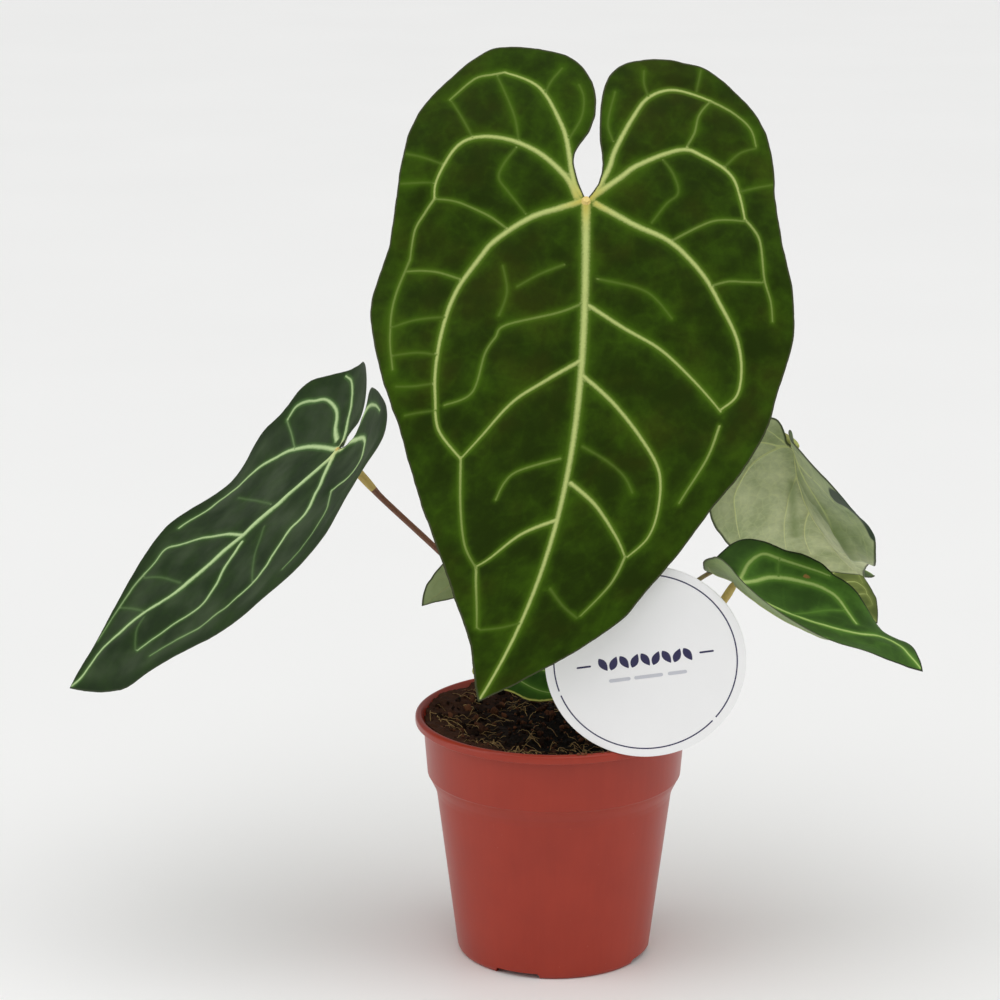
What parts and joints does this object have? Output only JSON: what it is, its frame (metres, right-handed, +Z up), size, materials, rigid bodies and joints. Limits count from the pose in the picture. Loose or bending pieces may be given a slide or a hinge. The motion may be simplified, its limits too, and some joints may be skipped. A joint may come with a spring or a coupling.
{
  "type": "potted anthurium regale",
  "caption": "Potted foliage plant with large heart-shaped velvety leaves and pale veins on slim stalks, in a round tapered nursery pot with a round label.",
  "frame": {"origin": "centre of the pot's foot, on the surface that it stands on", "axes": "+Z up, -Y towards the side that the large leaf faces"},
  "size_m": [0.358, 0.1759, 0.3905],
  "materials": {
    "pot": "thin satin terracotta-coloured plastic",
    "soil": "moist peat and coir",
    "crown": "stem base with dry sheaths",
    "label": "smooth white plastic",
    "stick": "smooth white plastic",
    "blade": "velvety leaf with pale veins",
    "geniculum": "smooth plant tissue",
    "petiole": "smooth plant tissue"
  },
  "bodies": {
    "root": {"pot": "pot", "soil": "soil", "crown": "crown", "label_disc": "label", "label_stick": "stick", "blade_front_large": "blade", "geniculum_front_large": "geniculum", "petiole_front_large": "petiole", "blade_left": "blade", "geniculum_left": "geniculum", "petiole_left": "petiole", "blade_right_rear": "blade", "geniculum_right_rear": "geniculum", "petiole_right_rear": "petiole", "blade_right_front": "blade", "geniculum_right_front": "geniculum", "petiole_right_front": "petiole", "blade_small_left": "blade", "geniculum_small_left": "geniculum", "petiole_small_left": "petiole", "blade_small_right": "blade", "geniculum_small_right": "geniculum", "petiole_small_right": "petiole", "blade_small_front": "blade", "geniculum_small_front": "geniculum", "petiole_small_front": "petiole"}
  },
  "joints": []
}
